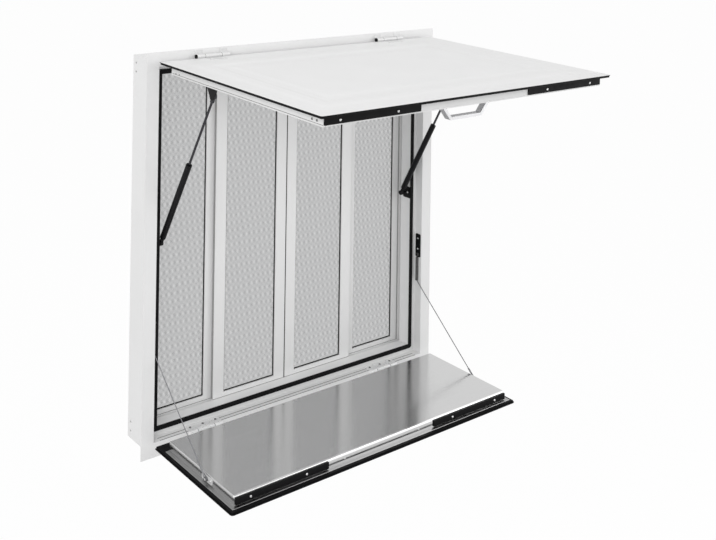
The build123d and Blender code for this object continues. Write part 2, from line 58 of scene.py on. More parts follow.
# Places worked out from the frame, in metres
AWNING_AXIS = Vector(joints["awning_hinge"]["pos_m"])
SHELF_AXIS = Vector(joints["shelf_hinge"]["pos_m"])
DROOP = math.radians(1.75)
AWNING = Matrix.Translation(AWNING_AXIS) @ Matrix.Rotation(DROOP, 4, "X")
FRAME_BOTTOM = Vector(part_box("jamb_left")[0]).z
FLANGE_WIDTH = 0.035
TRACK_INSET = 0.011
SIDES = ((-1, "left"), (1, "right"))


# Materials
class Surface:
    """A node material around one Principled shader, with short calls for its textures."""

    def __init__(self, name, colour, roughness, metallic=0.0, specular=0.5):
        self.material = bpy.data.materials.new(name)
        self.material.use_nodes = True
        self.tree = self.material.node_tree
        self.shader = self.tree.nodes["Principled BSDF"]
        self.shader.inputs["Base Color"].default_value = (*colour, 1)
        self.shader.inputs["Roughness"].default_value = roughness
        self.shader.inputs["Metallic"].default_value = metallic
        self.shader.inputs["Specular IOR Level"].default_value = specular
        self.colour = colour
        self.roughness = roughness
        self.place = self.tree.nodes.new("ShaderNodeTexCoord").outputs["Object"]
        self.normal = None

    def node(self, kind, **settings):
        made = self.tree.nodes.new(kind)
        for key, value in settings.items():
            setattr(made, key, value)
        return made

    def link(self, source, target):
        self.tree.links.new(source, target)

    def noise(self, scale, stretch=(1, 1, 1), detail=3.0):
        """Noise of that many cells a metre, stretched along the row frame's axes."""
        mapping = self.node("ShaderNodeMapping")
        mapping.inputs["Scale"].default_value = tuple(scale * value for value in stretch)
        self.link(self.place, mapping.inputs["Vector"])
        texture = self.node("ShaderNodeTexNoise")
        texture.inputs["Scale"].default_value = 1.0
        texture.inputs["Detail"].default_value = detail
        self.link(mapping.outputs["Vector"], texture.inputs["Vector"])
        return texture.outputs["Fac"]

    def spread(self, value, low, high):
        """A 0 to 1 value taken to low to high."""
        ranged = self.node("ShaderNodeMapRange")
        ranged.inputs["From Min"].default_value = 0.25
        ranged.inputs["From Max"].default_value = 0.75
        ranged.inputs["To Min"].default_value = low
        ranged.inputs["To Max"].default_value = high
        self.link(value, ranged.inputs["Value"])
        return ranged.outputs["Result"]

    def vary_roughness(self, value, amount):
        self.link(
            self.spread(value, self.roughness - amount, self.roughness + amount), self.shader.inputs["Roughness"]
        )

    def vary_colour(self, value, amount):
        """Makes the colour lighter and darker by that share."""
        mix = self.node("ShaderNodeMix", data_type="RGBA")
        mix.inputs["A"].default_value = (*(channel * (1 - amount) for channel in self.colour), 1)
        mix.inputs["B"].default_value = (*(min(1.0, channel * (1 + amount)) for channel in self.colour), 1)
        self.link(self.spread(value, 0.0, 1.0), mix.inputs["Factor"])
        self.link(mix.outputs["Result"], self.shader.inputs["Base Color"])

    def bump(self, value, strength, distance):
        bump = self.node("ShaderNodeBump")
        bump.inputs["Strength"].default_value = strength
        bump.inputs["Distance"].default_value = distance
        self.link(value, bump.inputs["Height"])
        if self.normal:
            self.link(self.normal, bump.inputs["Normal"])
        self.normal = bump.outputs["Normal"]
        self.link(self.normal, self.shader.inputs["Normal"])


def powder_coat(name, colour, roughness):
    """Powder coat: a fine orange peel, and a gloss that changes slightly over a metre."""
    surface = Surface(name, colour, roughness, specular=0.4)
    surface.vary_roughness(surface.noise(14), 0.05)
    surface.vary_colour(surface.noise(6), 0.012)
    surface.bump(surface.noise(650), 0.12, 0.0002)
    return surface.material


def brushed_metal(name, colour, roughness, stretch):
    """Sheet metal with brush lines along the axis whose stretch is small."""
    surface = Surface(name, colour, roughness, 1.0)
    lines = surface.noise(900, stretch, 4.0)
    surface.vary_roughness(lines, 0.05)
    surface.vary_colour(lines, 0.05)
    surface.bump(lines, 0.04, 0.0001)
    return surface.material


def top_with_painted_highlight(name, colour, roughness, stretch, low, high):
    """Brushed sheet with a painted highlight: its rolled front edge is coloured near white along the top."""
    material = brushed_metal(name, colour, roughness, stretch)
    tree = material.node_tree
    shader = tree.nodes["Principled BSDF"]
    place = next(node for node in tree.nodes if node.bl_idname == "ShaderNodeTexCoord").outputs["Object"]
    split = tree.nodes.new("ShaderNodeSeparateXYZ")
    tree.links.new(place, split.inputs["Vector"])
    masks = []
    highlight_depth = 0.0050
    highlight_height = 0.0045
    limits = (("Y", "LESS_THAN", low[1] + highlight_depth), ("Z", "GREATER_THAN", high[2] - highlight_height))
    for axis, operation, limit in limits:
        mask = tree.nodes.new("ShaderNodeMath")
        mask.operation = operation
        mask.inputs[1].default_value = limit
        tree.links.new(split.outputs[axis], mask.inputs[0])
        masks.append(mask.outputs[0])
    both = tree.nodes.new("ShaderNodeMath")
    both.operation = "MULTIPLY"
    tree.links.new(masks[0], both.inputs[0])
    tree.links.new(masks[1], both.inputs[1])
    mix = tree.nodes.new("ShaderNodeMix")
    mix.data_type = "RGBA"
    brushed = shader.inputs["Base Color"].links[0].from_socket
    tree.links.new(both.outputs[0], mix.inputs["Factor"])
    tree.links.new(brushed, mix.inputs["A"])
    # Painted highlight: near white along the top of the front edge.
    mix.inputs["B"].default_value = (0.97, 0.97, 0.97, 1)
    tree.links.new(mix.outputs["Result"], shader.inputs["Base Color"])
    return material


def rubber(name):
    """Matt black rubber with a dusty, slightly uneven skin."""
    surface = Surface(name, (0.006, 0.006, 0.0065), 0.55, specular=0.08)
    surface.vary_roughness(surface.noise(60), 0.1)
    surface.vary_colour(surface.noise(120), 0.25)
    surface.bump(surface.noise(900), 0.25, 0.0003)
    return surface.material


def black_paint(name, roughness):
    """Black paint over steel with a light orange peel."""
    surface = Surface(name, (0.007, 0.007, 0.008), roughness, specular=0.12)
    surface.vary_roughness(surface.noise(80), 0.06)
    surface.vary_colour(surface.noise(200), 0.2)
    surface.bump(surface.noise(700), 0.1, 0.0002)
    return surface.material


def plated(name, colour, roughness, metallic=1.0):
    """Plated or turned steel with fine scratches."""
    surface = Surface(name, colour, roughness, metallic)
    surface.vary_roughness(surface.noise(300, (1, 1, 4)), 0.06)
    surface.vary_colour(surface.noise(500), 0.06)
    surface.bump(surface.noise(1200, (1, 1, 3)), 0.06, 0.0001)
    return surface.material


def wire_rope(name, sleeve_low):
    """Twisted wire, with a dark wound sleeve above the given height, its turns banded lighter as a painted highlight.
    """
    wire_colour = (0.24, 0.24, 0.25)
    surface = Surface(name, wire_colour, 0.35, 1.0, 0.2)
    wave = surface.node("ShaderNodeTexWave", wave_type="BANDS", bands_direction="DIAGONAL")
    wave.inputs["Scale"].default_value = 260.0
    surface.link(surface.place, wave.inputs["Vector"])
    surface.bump(wave.outputs["Fac"], 0.5, 0.0004)
    split = surface.node("ShaderNodeSeparateXYZ")
    surface.link(surface.place, split.inputs["Vector"])
    above = surface.node("ShaderNodeMath", operation="GREATER_THAN")
    above.inputs[1].default_value = sleeve_low
    surface.link(split.outputs["Z"], above.inputs[0])
    winding = surface.node("ShaderNodeTexWave", wave_type="BANDS", bands_direction="Z")
    winding.inputs["Scale"].default_value = 90.0
    surface.link(surface.place, winding.inputs["Vector"])
    # Painted highlight: lighter bands along the sleeve for the glint on its turns.
    coil_glints = surface.node("ShaderNodeMix", data_type="RGBA")
    coil_glints.inputs["A"].default_value = (0.012, 0.012, 0.012, 1)
    coil_glints.inputs["B"].default_value = (0.16, 0.16, 0.16, 1)
    surface.link(winding.outputs["Fac"], coil_glints.inputs["Factor"])
    mix = surface.node("ShaderNodeMix", data_type="RGBA")
    mix.inputs["A"].default_value = (*wire_colour, 1)
    surface.link(coil_glints.outputs["Result"], mix.inputs["B"])
    surface.link(above.outputs[0], mix.inputs["Factor"])
    surface.link(mix.outputs["Result"], surface.shader.inputs["Base Color"])
    dull = surface.node("ShaderNodeMath", operation="SUBTRACT")
    dull.inputs[0].default_value = 1.0
    surface.link(above.outputs[0], dull.inputs[1])
    surface.link(dull.outputs[0], surface.shader.inputs["Metallic"])
    return surface.material


def insect_mesh(name):
    """Woven fibre mesh: fine threads, and the columns of blobs that they make at a distance."""
    surface = Surface(name, (0.22, 0.225, 0.23), 0.6, specular=0.2)
    split = surface.node("ShaderNodeSeparateXYZ")
    surface.link(surface.place, split.inputs["Vector"])

    def combine(operation, first, second):
        made = surface.node("ShaderNodeMath", operation=operation)
        for socket, value in zip(made.inputs, (first, second)):
            if isinstance(value, (int, float)):
                socket.default_value = value
            else:
                surface.link(value, socket)
        return made.outputs[0]

    def wave(value, pitch):
        return combine("COSINE", combine("MULTIPLY", value, 2 * math.pi / pitch), 0)

    thread_pitch = 0.0014
    column_pitch = 0.0165
    swell_pitch = 0.019
    swell_share = 0.65
    lean = 0.15
    cover = 0.33
    along = split.outputs["X"]
    upward = split.outputs["Z"]
    drift = combine("MULTIPLY", surface.noise(16), 0.010)
    leaning = combine("ADD", along, combine("MULTIPLY", upward, lean))
    swelling = combine("MULTIPLY", wave(combine("ADD", upward, drift), swell_pitch), swell_share)
    swell = combine("ADD", swelling, 1 - swell_share)
    blobs = combine("MULTIPLY", wave(combine("ADD", leaning, drift), column_pitch), swell)
    threads = combine("MAXIMUM", wave(along, thread_pitch), wave(upward, thread_pitch))
    level = combine("ADD", combine("MULTIPLY", blobs, 0.09), combine("MULTIPLY", threads, 0.05))
    surface.link(combine("ADD", level, cover), surface.shader.inputs["Alpha"])
    surface.bump(threads, 0.05, 0.0001)
    surface.vary_roughness(surface.noise(40), 0.06)
    return surface.material


WHITE = powder_coat("white_coat", (0.80, 0.80, 0.80), 0.42)
BRUSHED_ACROSS = (0.006, 1, 1)
STAINLESS = brushed_metal("stainless", (0.60, 0.60, 0.60), 0.17, BRUSHED_ACROSS)
# The shelf's top, with a painted highlight along its rolled front edge.
SHELF_TOP = top_with_painted_highlight("shelf_stainless", (0.60, 0.60, 0.60), 0.17, BRUSHED_ACROSS, *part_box("shelf_top"))
RUBBER = rubber("rubber")
BLACK = black_paint("black_paint", 0.35)
PLASTIC = rubber("cap_plastic")
SATIN = brushed_metal("satin_aluminium", (0.60, 0.60, 0.61), 0.36, (0.02, 1, 1))
HINGE = plated("hinge_steel", (0.70, 0.70, 0.70), 0.34, 0.2)
# Painted light: a lighter copy of the hinge steel for the shelf's hinges.
HINGE_PAINTED_LIT = plated("shelf_hinge_steel_painted_lit", (0.95, 0.95, 0.95), 0.30, 0.2)
# Painted shade: a darker copy of the stainless for the ledge round the shelf's top.
SHADED_LEDGE = brushed_metal("ledge_steel_painted_shade", (0.36, 0.36, 0.36), 0.32, (0.006, 0.006, 1))
ROD = plated("rod_steel", (0.05, 0.05, 0.055), 0.22)
BRIGHT = plated("bright_screws", (0.62, 0.62, 0.62), 0.3)
DARK_SCREW = plated("dark_screws", (0.18, 0.18, 0.18), 0.35)
# Painted shade: dark grey strips in the gaps where the sashes enter the sill and the head, and along the recess
# floor.
SHADE_GREY = powder_coat("painted_shade_grey", (0.16, 0.16, 0.16), 0.6)
# Painted shade: grey strips in the gaps beside the sashes.
GAP_SHADE_GREY = powder_coat("gap_shade_grey", (0.30, 0.30, 0.30), 0.8)
WIRE = wire_rope("wire_rope", 0.236)
MESH = insect_mesh("insect_mesh")

FINISHES = {
    "white_aluminium": WHITE,
    "stainless_sheet": STAINLESS,
    "black_rubber": RUBBER,
    "black_plastic": PLASTIC,
    "satin_aluminium": SATIN,
    "hinge_steel": HINGE,
    "black_steel": BLACK,
    "rod_steel": ROD,
    "mesh_fibre": MESH,
    "wire_steel": WIRE,
}

# Nodes that look different from the rest of their finish: the shelf's top with its painted highlight, and the shelf's
# hinges in a lighter copy of the hinge steel, which paints the light on them
OWN_FINISHES = {
    "shelf_top": SHELF_TOP,
    "shelf_hinge_left_base": HINGE_PAINTED_LIT,
    "shelf_hinge_left_leaf": HINGE_PAINTED_LIT,
    "shelf_hinge_right_base": HINGE_PAINTED_LIT,
    "shelf_hinge_right_leaf": HINGE_PAINTED_LIT,
}


def finish_cad_nodes():
    """Gives each CAD node its finish, and its sharp edges a small round that catches the light."""
    for part in record["subparts"]:
        node = nodes[part["node"]]
        node.data.materials.clear()
        node.data.materials.append(OWN_FINISHES.get(part["node"], FINISHES[part["material_slot"]]))
        if part["material_slot"] in ("white_aluminium", "satin_aluminium", "black_steel"):
            bevel = node.modifiers.new("edge", "BEVEL")
            bevel.width = 0.0004
            bevel.segments = 2
            bevel.limit_method = "ANGLE"
            bevel.angle_limit = math.radians(50)
            bevel.harden_normals = True


finish_cad_nodes()


# Pieces that the scene adds
def add_piece(name, mesh, material, body):
    """Makes an object of a bmesh, paints it and lets it ride on a body."""
    data = bpy.data.meshes.new(name)
    mesh.normal_update()
    mesh.to_mesh(data)
    mesh.free()
    piece = bpy.data.objects.new(name, data)
    bpy.context.scene.collection.objects.link(piece)
    data.materials.append(material)
    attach(piece, body)
    return piece


def mitred(name, path, profile, place, material, body, closed=False):
    """Sweeps a profile of (outward, up) points along a flat path of straight runs, mitred at its corners."""
    points = [Vector(point) for point in path]
    mesh = bmesh.new()
    rings = []
    for index, point in enumerate(points):
        sides = []
        if closed or index > 0:
            sides.append(point - points[index - 1])
        if closed or index < len(points) - 1:
            sides.append(points[(index + 1) % len(points)] - point)
        normals = [Vector((-run.y, run.x)).normalized() for run in sides]
        mitre = sum(normals, Vector((0, 0)))
        mitre = mitre * (len(normals) / mitre.length_squared)
        rings.append([mesh.verts.new(place(point + mitre * out, up)) for out, up in profile])
    pairs = list(zip(rings, rings[1:]))
    if closed:
        pairs.append((rings[-1], rings[0]))
    else:
        mesh.faces.new(rings[0])
        mesh.faces.new(list(reversed(rings[-1])))
    for first, second in pairs:
        for k in range(len(profile)):
            after = (k + 1) % len(profile)
            mesh.faces.new((first[k], second[k], second[after], first[after]))
    bmesh.ops.recalc_face_normals(mesh, faces=mesh.faces)
    add_piece(name, mesh, material, body)


def on_awning(point, height):
    """A place given by across, reach and height over the awning's hinge axis, turned with its droop."""
    return AWNING @ Vector((point.x, -point.y, height))


def on_shelf(point, height):
    """A place given by across, reach and height over the shelf's hinge axis."""
    return SHELF_AXIS + Vector((point.x, -point.y, height))


def ease(share):
    """A smooth rise from 0 to 1."""
    share = min(1.0, max(0.0, share))
    return share * share * (3 - 2 * share)


# Height of the pressed panel by the distance from the nearest edge, both in metres
PRESSING = [
    (0.012, 0.0010),
    (0.031, 0.0),
    (0.047, 0.0),
    (0.068, 0.0021),
    (0.083, 0.0021),
    (0.101, 0.0),
    (0.117, 0.0),
    (0.138, 0.0021),
]


def pressed_height(edge):
    """Height of the pressed panel at a distance from the nearest edge."""
    for (near, low), (far, high) in zip(PRESSING, PRESSING[1:]):
        if edge < far:
            return low + (high - low) * ease((edge - near) / (far - near))
    return PRESSING[-1][1]


def graded(low, high):
    """Stations from low to high, close together where the pressing changes."""
    near = [0.0, 0.0006, 0.002, 0.004, 0.006] + [0.010 + 0.004 * step for step in range(36)]
    inner = low + near[-1]
    span = high - near[-1] - inner
    middle = [inner + span * step / 16 for step in range(1, 16)]
    return [low + value for value in near] + middle + [high - value for value in reversed(near)]


def door_skin():
    """The awning's outer sheet with its soft pressed border, and the black edge of the seal round it."""
    low, high = (Vector(corner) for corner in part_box("door_skin"))
    half = high.x
    root = 0.002
    reach = -(AWNING.inverted() @ Vector((0, low.y, low.z))).y - 0.0003
    top = -0.0053
    thick = 0.0015
    corner = 0.006
    columns = graded(-half, half)
    stations = graded(root, reach)
    mesh = bmesh.new()
    sheets = []
    for level in (0.0, -thick):
        grid = []
        for r in stations:
            over = r - (reach - corner)
            trim = corner - math.sqrt(max(0.0, corner * corner - over * over)) if over > 0 else 0.0
            line = []
            for x in columns:
                height = top + level + pressed_height(min(half - abs(x), r - root, reach - r))
                line.append(mesh.verts.new(AWNING @ Vector((x * (half - trim) / half, -r, height))))
            grid.append(line)
        sheets.append(grid)
    upper, lower = sheets
    across = len(columns) - 1
    along = len(stations) - 1
    for j in range(along):
        for i in range(across):
            mesh.faces.new((upper[j][i], upper[j + 1][i], upper[j + 1][i + 1], upper[j][i + 1]))
            mesh.faces.new((lower[j][i], lower[j][i + 1], lower[j + 1][i + 1], lower[j + 1][i]))
    edges = []
    for i in range(across):
        mesh.faces.new((upper[0][i], upper[0][i + 1], lower[0][i + 1], lower[0][i]))
        edges.append(mesh.faces.new((upper[along][i + 1], upper[along][i], lower[along][i], lower[along][i + 1])))
    for j in range(along):
        edges.append(mesh.faces.new((upper[j + 1][0], upper[j][0], lower[j][0], lower[j + 1][0])))
        edges.append(mesh.faces.new((upper[j][across], upper[j + 1][across], lower[j + 1][across], lower[j][across])))
    for face in edges:
        face.material_index = 1
    bmesh.ops.recalc_face_normals(mesh, faces=mesh.faces)
    piece = add_piece("door_skin_sheet", mesh, WHITE, "awning_door")
    piece.data.materials.append(RUBBER)
    for face in piece.data.polygons:
        face.use_smooth = True
    piece.data.set_sharp_from_angle(angle=math.radians(40))
    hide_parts("door_skin")


def screw(name, place, facing, radius, material, body):
    """A pan-head screw with a cross recess, its head on the surface at place."""
    facing = Vector(facing).normalized()
    turn = facing.to_track_quat("Z", "Y").to_matrix().to_4x4()
    mesh = bmesh.new()
    sides = 24
    height = radius * 0.55
    circles = []
    for share in (0.0, 0.35, 0.7, 1.0):
        angle = share * math.pi / 2
        ring_radius = radius * math.cos(angle * 0.75)
        level = height * math.sin(angle)
        circle = []
        for k in range(sides):
            turn_k = 2 * math.pi * k / sides
            circle.append(mesh.verts.new((ring_radius * math.cos(turn_k), ring_radius * math.sin(turn_k), level)))
        circles.append(circle)
    for inner, outer in zip(circles, circles[1:]):
        for k in range(sides):
            mesh.faces.new((inner[k], inner[(k + 1) % sides], outer[(k + 1) % sides], outer[k]))
    cap = mesh.faces.new(circles[-1])
    bmesh.ops.inset_individual(mesh, faces=[cap], thickness=radius * 0.12)
    centre = mesh.verts.new((0, 0, height - radius * 0.3))
    face = [f for f in mesh.faces if len(f.verts) == sides][0]
    rim = list(face.verts)
    mesh.faces.remove(face)
    for k, vert in enumerate(rim):
        if k % 6 in (2, 3, 4):
            vert.co.z -= radius * 0.02
    for k in range(sides):
        mesh.faces.new((rim[k], rim[(k + 1) % sides], centre))
    mesh.transform(Matrix.Translation(Vector(place)) @ turn)
    piece = add_piece(name, mesh, material, body)
    for polygon in piece.data.polygons:
        polygon.use_smooth = True
    piece.data.set_sharp_from_angle(angle=math.radians(35))


def ring(name, axis, middle, outer, width, material, body):
    """A thin ring round a hinge's axis."""
    mesh = bmesh.new()
    inner = outer * 0.6
    sides = 32
    loops = []
    shoulder = outer * 0.96
    for radius, offset in ((inner, -width / 2), (shoulder, -width / 2), (outer, -width / 4), (outer, width / 4),
                           (shoulder, width / 2), (inner, width / 2)):
        loop = []
        for k in range(sides):
            angle = 2 * math.pi * k / sides
            loop.append(
                mesh.verts.new(axis @ Vector((middle + offset, radius * math.cos(angle), radius * math.sin(angle))))
            )
        loops.append(loop)
    for first, second in zip(loops, loops[1:] + loops[:1]):
        for k in range(sides):
            after = (k + 1) % sides
            mesh.faces.new((first[k], second[k], second[after], first[after]))
    bmesh.ops.recalc_face_normals(mesh, faces=mesh.faces)
    add_piece(name, mesh, material, body)


door_skin()


# Trims of the leaves
def three_sides(left, right, back, front):
    """Three sides of a rectangle, open at the back."""
    return [(left, back), (left, front), (right, front), (right, back)]


def shelf_ledge():
    """The ledge of bright metal on the seal, round the shelf's top, in a darker steel that paints the shade on it."""
    low, high = (Vector(corner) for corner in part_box("shelf_top"))
    front_setback = 0.002
    level = low.z - SHELF_AXIS.z
    path = three_sides(low.x, high.x, SHELF_AXIS.y - high.y, SHELF_AXIS.y - low.y - front_setback)
    section = [(-0.0004, 0.0001), (0.0104, 0.0001), (0.0108, 0.0005), (0.0104, 0.0010), (0.0020, 0.0014),
               (-0.0004, 0.0022)]
    mitred("shelf_ledge", path, [(out, level + up) for out, up in section], on_shelf, SHADED_LEDGE, "shelf")


def shelf_lip():
    """The black lip that wraps the edge of the shelf's outer sheet, with cut corners."""
    low, high = (Vector(corner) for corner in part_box("shelf_skin"))
    back = SHELF_AXIS.y - high.y
    front = SHELF_AXIS.y - low.y
    under = low.z - SHELF_AXIS.z
    upper = high.z - SHELF_AXIS.z
    cut = 0.006
    bend = 0.0018
    path = [(low.x, back), (low.x, front - cut), (low.x + bend, front - bend), (low.x + cut, front),
            (high.x - cut, front), (high.x - bend, front - bend), (high.x, front - cut), (high.x, back)]
    grip = 0.004
    section = [(-grip, under - 0.0004), (0.0002, under - 0.0004), (0.0005, under), (0.0005, upper),
               (0.0, upper + 0.0003), (-grip, upper + 0.0003), (-grip, upper), (0.0001, upper - 0.0002),
               (0.0001, under + 0.0002), (-grip, under)]
    mitred("shelf_lip", path, section, on_shelf, RUBBER, "shelf")


def door_rim():
    """The white rim low on the awning's body, and a dark strip along its top that paints the shade of the groove
    there.
    """
    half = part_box("door_body")[1][0]
    root = 0.030
    reach = 0.5736
    path = three_sides(-half, half, root, reach)
    rim = [(-0.0003, -0.0314), (0.0007, -0.0314), (0.0010, -0.0308), (0.0010, -0.0290), (0.0007, -0.0284),
           (-0.0003, -0.0284)]
    mitred("door_rim", path, rim, on_awning, WHITE, "awning_door")
    # Painted shade: a dark strip for the groove line above the rim.
    shade_line = [(-0.0002, -0.0282), (0.0002, -0.0282), (0.0002, -0.0274), (-0.0002, -0.0274)]
    mitred("door_rim_shade_line", path, shade_line, on_awning, DARK_SCREW, "awning_door")


shelf_ledge()
shelf_lip()
door_rim()


# Trims of the screens and of the opening round them, with dark strips of painted shade in their gaps
def upright(front):
    """Places a path that runs across and up on a plane, with its section standing out to the front of it."""
    return lambda point, up: Vector((point.x, front - up, point.y))


def screen_cords():
    """The cord that holds each mesh, and dark strips of painted shade in the gaps where each sash enters the sill and
    the head.
    """
    cord = [(0.0, 0.0), (0.0, 0.0012), (-0.0006, 0.0018), (-0.0020, 0.0018), (-0.0026, 0.0012), (-0.0026, 0.0)]
    gap_shade = [(-0.0005, -0.0005), (-0.0005, 0.0002), (0.0005, 0.0002), (0.0005, -0.0005)]
    gap_inset = 0.0006
    sill_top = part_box("frame_sill")[1][2]
    head_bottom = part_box("frame_head")[0][2]
    for number in (1, 2, 3, 4):
        low, high = (Vector(corner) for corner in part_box(f"screen_{number}_mesh"))
        path = [(low.x, low.z), (low.x, high.z), (high.x, high.z), (high.x, low.z)]
        mitred(f"screen_{number}_cord", path, cord, upright(low.y), RUBBER, "window_frame", True)
        low, high = (Vector(corner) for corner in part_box(f"screen_{number}_frame"))
        # Painted shade in the gaps at the sill and the head.
        for end, level in (("low", sill_top + gap_inset), ("high", head_bottom - gap_inset)):
            mitred(f"screen_{number}_gap_{end}", [(low.x, level), (high.x, level)], gap_shade, upright(low.y), SHADE_GREY,
                   "window_frame")


def screen_overlap_shades():
    """Grey strips on the outer edges of the two front sashes, painted shade of the gaps where they overlap the sashes
    behind.
    """
    section = [(-0.0002, -0.0004), (0.0005, -0.0008), (0.0005, -0.0080), (-0.0002, -0.0084)]
    for number, side in ((2, -1), (3, 1)):
        low, high = (Vector(corner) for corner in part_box(f"screen_{number}_frame"))
        ends = [low.z + TRACK_INSET, high.z - TRACK_INSET]
        edge = low.x if side < 0 else high.x
        path = [(edge, level) for level in (ends if side < 0 else reversed(ends))]
        mitred(f"screen_{number}_overlap_shade", path, section, upright(low.y), GAP_SHADE_GREY, "window_frame")


def track_gap_shades():
    """Grey strips between the outer sashes and the jambs, painted shade of the gaps there."""
    section = [(-0.0020, -0.0002), (-0.0020, 0.0004), (0.0020, 0.0004), (0.0020, -0.0002)]
    shade_x = 0.4298
    for number, side, hand in ((1, -1, "left"), (4, 1, "right")):
        low, high = (Vector(corner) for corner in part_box(f"screen_{number}_frame"))
        path = [(side * shade_x, low.z + TRACK_INSET), (side * shade_x, high.z - TRACK_INSET)]
        mitred(f"track_gap_shade_{hand}", path, section, upright(low.y), GAP_SHADE_GREY, "window_frame")


def sill_shade_lines():
    """Two fine dark strips along the floor of the recess, painted shade for the dark lines there."""
    section = [(-0.0008, -0.0004), (-0.0008, 0.0003), (0.0008, 0.0003), (0.0008, -0.0004)]
    floor = FRAME_BOTTOM + FLANGE_WIDTH
    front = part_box("frame_sill")[0][1]
    inner = -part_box("jamb_left")[1][0]
    for number, depth in enumerate((0.0012, 0.0125), start=1):
        mitred(f"sill_shade_line_{number}", [(-inner, front + depth), (inner, front + depth)], section,
               lambda point, up: Vector((point.x, point.y, floor + up)), SHADE_GREY, "window_frame")


def stop_seal_bulb():
    """The round inner edge of the stop seal."""
    low, high = (Vector(corner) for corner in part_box("stop_seal"))
    band = 0.009
    path = [(low.x + band, low.z + band), (low.x + band, high.z - band), (high.x - band, high.z - band),
            (high.x - band, low.z + band)]
    section = [(0.001, 0.0), (0.001, 0.0040), (-0.0020, 0.0040), (-0.0028, 0.0032), (-0.0028, 0.0008),
               (-0.0020, 0.0)]
    mitred("stop_seal_bulb", path, section, upright(high.y), RUBBER, "window_frame", True)


def meeting_gap_shade():
    """A black strip where the two front sashes meet, painted shade of the gap between them."""
    low, high = (Vector(corner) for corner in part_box("screen_2_frame"))
    end_inset = 0.004
    section = [(-0.0013, -0.004), (-0.0013, 0.0003), (-0.0008, 0.0008), (0.0008, 0.0008), (0.0013, 0.0003),
               (0.0013, -0.004)]
    mitred("meeting_gap_shade", [(0, low.z + end_inset), (0, high.z - end_inset)], section, upright(low.y), RUBBER,
           "window_frame")


screen_cords()
screen_overlap_shades()
track_gap_shades()
sill_shade_lines()
stop_seal_bulb()
meeting_gap_shade()


# Stays
def stay_ropes():
    """The stays as the frame has them, a little slimmer."""
    slimming = 0.0004
    for side, hand in SIDES:
        data = nodes[f"stay_{hand}_cable"].data.copy()
        steps = [vertex.normal.copy() * slimming for vertex in data.vertices]
        for vertex, step in zip(data.vertices, steps):
            vertex.co -= step
        rope = bpy.data.objects.new(f"stay_{hand}_rope", data)
        bpy.context.scene.collection.objects.link(rope)
        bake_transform(rope)
        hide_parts(f"stay_{hand}_cable")


stay_ropes()


# Screws, rings and rivets
def latch_screws(side, hand):
    """Screws of the latch strips, awning above and shelf below, and of the bare lip between them."""
    low, high = (Vector(corner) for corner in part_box("shelf_strip_right"))
    door_low, door_high = (Vector(corner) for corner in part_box("door_strip_right"))
    outward = AWNING.to_3x3() @ Vector((0, -1, 0))
    level = (low.z + high.z) / 2
    door_level = (door_low.z + door_high.z) / 2
    radius = 0.0030
    for number, inset in enumerate((0.040, 0.198), start=1):
        x = side * (high.x - inset)
        screw(f"shelf_strip_screw_{hand}_{number}", (x, low.y, level), (0, -1, 0), radius, BRIGHT, "shelf")
        screw(f"door_strip_screw_{hand}_{number}", (x, door_low.y + 0.0002, door_level), outward, radius, BRIGHT,
              "awning_door")
    lip_x = 0.121
    lip_radius = 0.0022
    screw(f"shelf_lip_screw_{hand}", (side * lip_x, high.y, level), (0, -1, 0), lip_radius, BRIGHT, "shelf")


def stay_screws(side, hand):
    """Screws of the stay's plate on the frame and of its bracket on the shelf."""
    low, high = (Vector(corner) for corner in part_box(f"stay_{hand}_plate"))
    plate_face = side * (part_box("shelf_skin")[1][0] - 0.0095)
    for number, drop in enumerate((0.0125, 0.0425), start=1):
        place = (plate_face, (low.y + high.y) / 2, high.z - drop)
        screw(f"stay_plate_screw_{hand}_{number}", place, (-side, 0, 0), 0.0026, SATIN, "window_frame")
    low, high = (Vector(corner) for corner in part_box(f"stay_{hand}_bracket"))
    bracket_face = side * (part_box("shelf_top")[1][0] + 0.0015)
    for number, offset in enumerate((-0.013, 0.013), start=1):
        place = (bracket_face, (low.y + high.y) / 2 + offset, (low.z + high.z) / 2)
        screw(f"stay_bracket_screw_{hand}_{number}", place, (side, 0, 0), 0.0028, BRIGHT, "shelf")


def hinge_screws(hand):
    """Screws of the shelf's hinge on the recess floor and of the awning's hinge on its sheet."""
    low, high = (Vector(corner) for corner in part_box(f"shelf_hinge_{hand}_base"))
    leaf_row_y = 0.008
    for number, offset in enumerate((-0.038, 0.0, 0.038), start=1):
        place = ((low.x + high.x) / 2 + offset, leaf_row_y, high.z)
        screw(f"shelf_hinge_screw_{hand}_{number}", place, (0, 0, 1), 0.0032, DARK_SCREW, "window_frame")
    low, high = (Vector(corner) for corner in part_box(f"door_hinge_{hand}_leaf"))
    upward = AWNING.to_3x3() @ Vector((0, 0, 1))
    for number, offset in enumerate((-0.016, 0.016), start=1):
        place = AWNING @ Vector(((low.x + high.x) / 2 + offset, -0.020, -0.0038))
        screw(f"door_hinge_screw_{hand}_{number}", place, upward, 0.003, HINGE, "awning_door")


def hinge_rings(hand):
    """Grey rings between the knuckles of the awning's hinge and of the shelf's below it."""
    low, high = (Vector(corner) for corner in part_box(f"door_hinge_{hand}_leaf"))
    shelf_axis = Matrix.Translation(SHELF_AXIS)
    for number, offset in enumerate((-0.025, 0.025), start=1):
        middle = (low.x + high.x) / 2 + offset
        ring(f"door_hinge_ring_{hand}_{number}", AWNING, middle, 0.0052, 0.0011, DARK_SCREW, "awning_door")
        ring(f"shelf_hinge_ring_{hand}_{number}", shelf_axis, middle, 0.0047, 0.0013, DARK_SCREW, "shelf")


def strut_bolt(side, hand):
    """The bright bolt on the strut's lower bracket."""
    screw(f"strut_bracket_screw_{hand}", (side * 0.4294, 0.035, 0.4855), (-side, 0, 0), 0.0030, BRIGHT,
          "window_frame")


